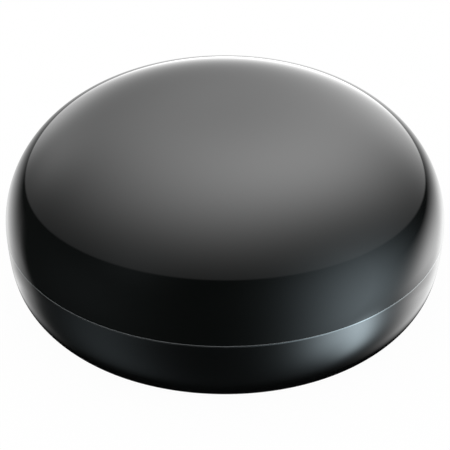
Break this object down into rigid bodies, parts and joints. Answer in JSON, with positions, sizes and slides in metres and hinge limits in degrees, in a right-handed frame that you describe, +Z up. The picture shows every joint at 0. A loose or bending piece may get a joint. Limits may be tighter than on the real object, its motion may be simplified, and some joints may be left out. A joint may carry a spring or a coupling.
{
  "type": "smart ir blaster",
  "caption": "Round low infrared blaster with a glossy black dome on a tucked-in base, a power socket and reset button behind, and its board and emitters inside.",
  "frame": {"origin": "centre of the rubber foot ring's underside, on the surface that the object stands on", "axes": "+Z up through the dome, -Y towards the front that the picture shows, +Y towards the power socket"},
  "size_m": [0.066, 0.066, 0.03],
  "materials": {
    "dome_plastic": "polished near-black plastic that passes infrared",
    "base_plastic": "polished black moulded plastic",
    "foot_rubber": "matte anti-slip rubber",
    "screw_steel": "bright steel",
    "board_laminate": "green solder mask on glass laminate",
    "holder_plastic": "black moulded plastic",
    "emitter_epoxy": "tinted clear epoxy",
    "lead_metal": "tinned wire",
    "receiver_epoxy": "dark infrared-pass epoxy",
    "shield_metal": "tin-plated sheet",
    "status_epoxy": "white package with a clear top",
    "pipe_acrylic": "clear acrylic",
    "radio_laminate": "blue solder mask on thin laminate",
    "chip_plastic": "moulded black package",
    "contact_brass": "gold-plated copper",
    "socket_metal": "plated stainless sheet",
    "socket_plastic": "black insulator",
    "button_plastic": "satin black moulded plastic",
    "switch_plastic": "black moulded plastic",
    "plunger_plastic": "red moulded plastic",
    "capacitor_metal": "plain aluminium can",
    "capacitor_ceramic": null,
    "resistor_film": "black glazed film"
  },
  "bodies": {
    "housing": {"upper_shell": "dome_plastic", "lower_shell": "base_plastic", "foot_ring": "foot_rubber", "case_screws": "screw_steel", "main_board": "board_laminate", "board_screws": "screw_steel", "emitter_holder": "holder_plastic", "side_emitter_1": "emitter_epoxy", "side_emitter_2": "emitter_epoxy", "side_emitter_3": "emitter_epoxy", "side_emitter_4": "emitter_epoxy", "side_emitter_5": "emitter_epoxy", "side_emitter_6": "emitter_epoxy", "top_emitter": "emitter_epoxy", "emitter_leads": "lead_metal", "receiver_body": "receiver_epoxy", "receiver_shield": "shield_metal", "receiver_leads": "lead_metal", "status_light": "status_epoxy", "light_pipe": "pipe_acrylic", "radio_board": "radio_laminate", "radio_shield": "shield_metal", "radio_chip": "chip_plastic", "radio_antenna": "contact_brass", "socket_shell": "socket_metal", "socket_tongue": "socket_plastic", "socket_contacts": "contact_brass", "switch_body": "switch_plastic", "switch_frame": "shield_metal", "switch_dome": "screw_steel", "switch_terminals": "lead_metal", "voltage_regulator": "chip_plastic", "regulator_leads": "lead_metal", "bulk_capacitor": "capacitor_metal", "capacitor_seat": "switch_plastic", "ceramic_capacitors": "capacitor_ceramic", "resistors": "resistor_film", "driver_transistors": "chip_plastic", "protection_diode": "chip_plastic"},
    "button": {"reset_button": "button_plastic", "switch_plunger": "plunger_plastic"}
  },
  "joints": [
    {"name": "reset_press", "type": "slide", "parent": "housing", "child": "button", "axis": [-0.3746, -0.9272, 0], "range_m": [0, 0.0003], "stiffness_N_per_m": 1000}
  ]
}
